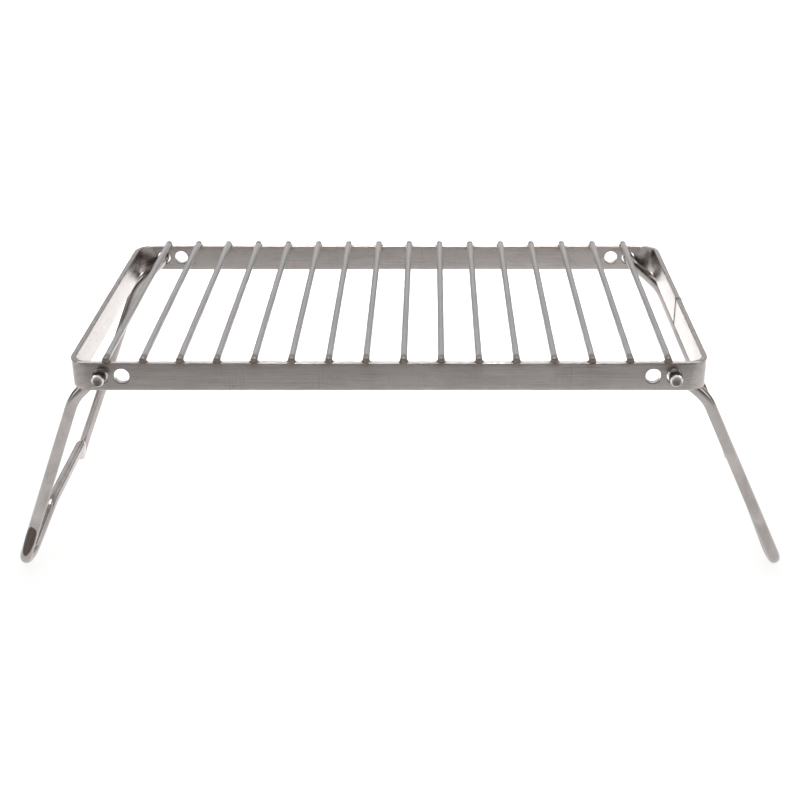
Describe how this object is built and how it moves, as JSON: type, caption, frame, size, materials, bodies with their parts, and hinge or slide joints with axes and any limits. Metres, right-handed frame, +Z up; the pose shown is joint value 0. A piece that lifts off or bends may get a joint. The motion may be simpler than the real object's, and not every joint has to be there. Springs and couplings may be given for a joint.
{
  "type": "folding camp grill",
  "caption": "Folding camp grill with a rounded flat-bar frame, round cross rods welded on its top edge and bent-wire legs that fold inward under the rods.",
  "frame": {"origin": "on the ground, under the middle of the outline of the grill with both legs open", "axes": "+X along the long side to the right seen from the front, +Y from the front to the back, +Z up"},
  "size_m": [0.4303, 0.1926, 0.1399],
  "materials": {
    "band_steel": "satin stainless steel, faintly brushed along the bar",
    "rod_steel": "drawn stainless steel rod, bright",
    "leg_steel": "smooth stainless steel wire, half gloss"
  },
  "bodies": {
    "frame": {"frame_band": "band_steel", "grate_rod_01": "rod_steel", "grate_rod_02": "rod_steel", "grate_rod_03": "rod_steel", "grate_rod_04": "rod_steel", "grate_rod_05": "rod_steel", "grate_rod_06": "rod_steel", "grate_rod_07": "rod_steel", "grate_rod_08": "rod_steel", "grate_rod_09": "rod_steel", "grate_rod_10": "rod_steel", "grate_rod_11": "rod_steel", "grate_rod_12": "rod_steel", "grate_rod_13": "rod_steel", "grate_rod_14": "rod_steel", "grate_rod_15": "rod_steel", "grate_rod_16": "rod_steel"},
    "left_leg": {"leg_left": "leg_steel"},
    "right_leg": {"leg_right": "leg_steel"}
  },
  "joints": [
    {"name": "left_leg_fold", "type": "hinge", "parent": "frame", "child": "left_leg", "pos_m": [-0.14984, 0, 0.1296], "axis": [0, -1, 0], "range_deg": [0, 117]},
    {"name": "right_leg_fold", "type": "hinge", "parent": "frame", "child": "right_leg", "pos_m": [0.14076, 0, 0.1296], "axis": [0, 1, 0], "range_deg": [0, 117]}
  ]
}
